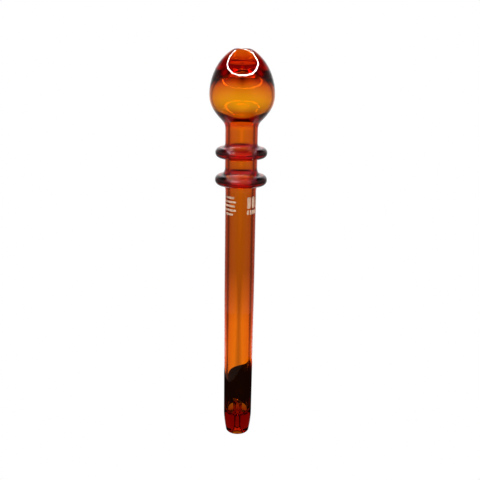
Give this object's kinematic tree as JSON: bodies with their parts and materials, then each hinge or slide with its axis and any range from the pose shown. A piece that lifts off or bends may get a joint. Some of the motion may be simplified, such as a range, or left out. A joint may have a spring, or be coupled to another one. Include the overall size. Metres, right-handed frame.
{
  "type": "amber glass bulb tube",
  "caption": "Hollow amber glass tube with an egg-shaped head holding a small bowl over a round chamber, two grip rings and a thick mouth end.",
  "frame": {"origin": "centre of the foot of the mouth end, on the tube's axis", "axes": "+Z along the tube towards the head; -Y towards the side that the print flanks"},
  "size_m": [0.0249, 0.0248, 0.158],
  "materials": {
    "amber_glass": "fire-polished, clear amber",
    "white_enamel": "fired enamel print"
  },
  "bodies": {
    "root": {"bowl_crown": "amber_glass", "chamber_shell": "amber_glass", "neck_tube": "amber_glass", "upper_ring": "amber_glass", "collar_tube": "amber_glass", "lower_ring": "amber_glass", "stem_tube": "amber_glass", "mouth_tip": "amber_glass", "inner_post": "amber_glass", "printed_marks": "white_enamel"}
  },
  "joints": []
}
